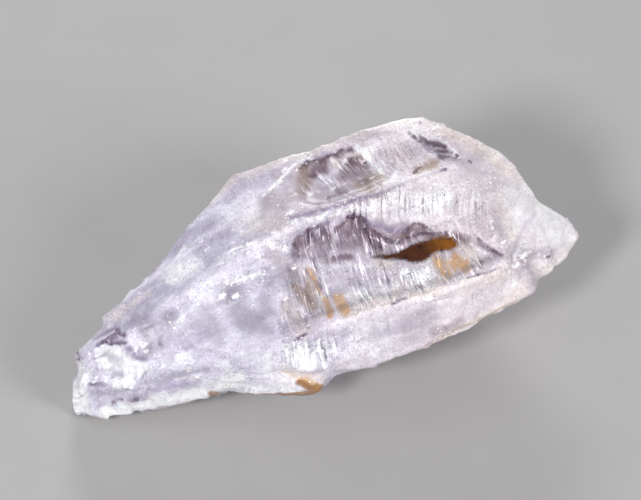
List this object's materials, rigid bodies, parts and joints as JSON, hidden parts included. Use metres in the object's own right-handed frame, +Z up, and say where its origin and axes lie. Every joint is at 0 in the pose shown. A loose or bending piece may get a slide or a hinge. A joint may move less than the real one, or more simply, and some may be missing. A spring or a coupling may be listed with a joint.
{
  "type": "rough amethyst crystal",
  "caption": "Loose rough amethyst crystal lying on a flat face: a pale lilac, part milky, part clear tapered prism with sunken windows, growth steps and a broken end.",
  "frame": {"origin": "on the floor, under the middle of the crystal's box", "axes": "+X along the crystal from its broken end to its point, +Z up away from the face that it rests on"},
  "size_m": [0.0388, 0.0172, 0.0123],
  "materials": {
    "amethyst": "satin"
  },
  "bodies": {
    "root": {"crystal": "amethyst"}
  },
  "joints": []
}
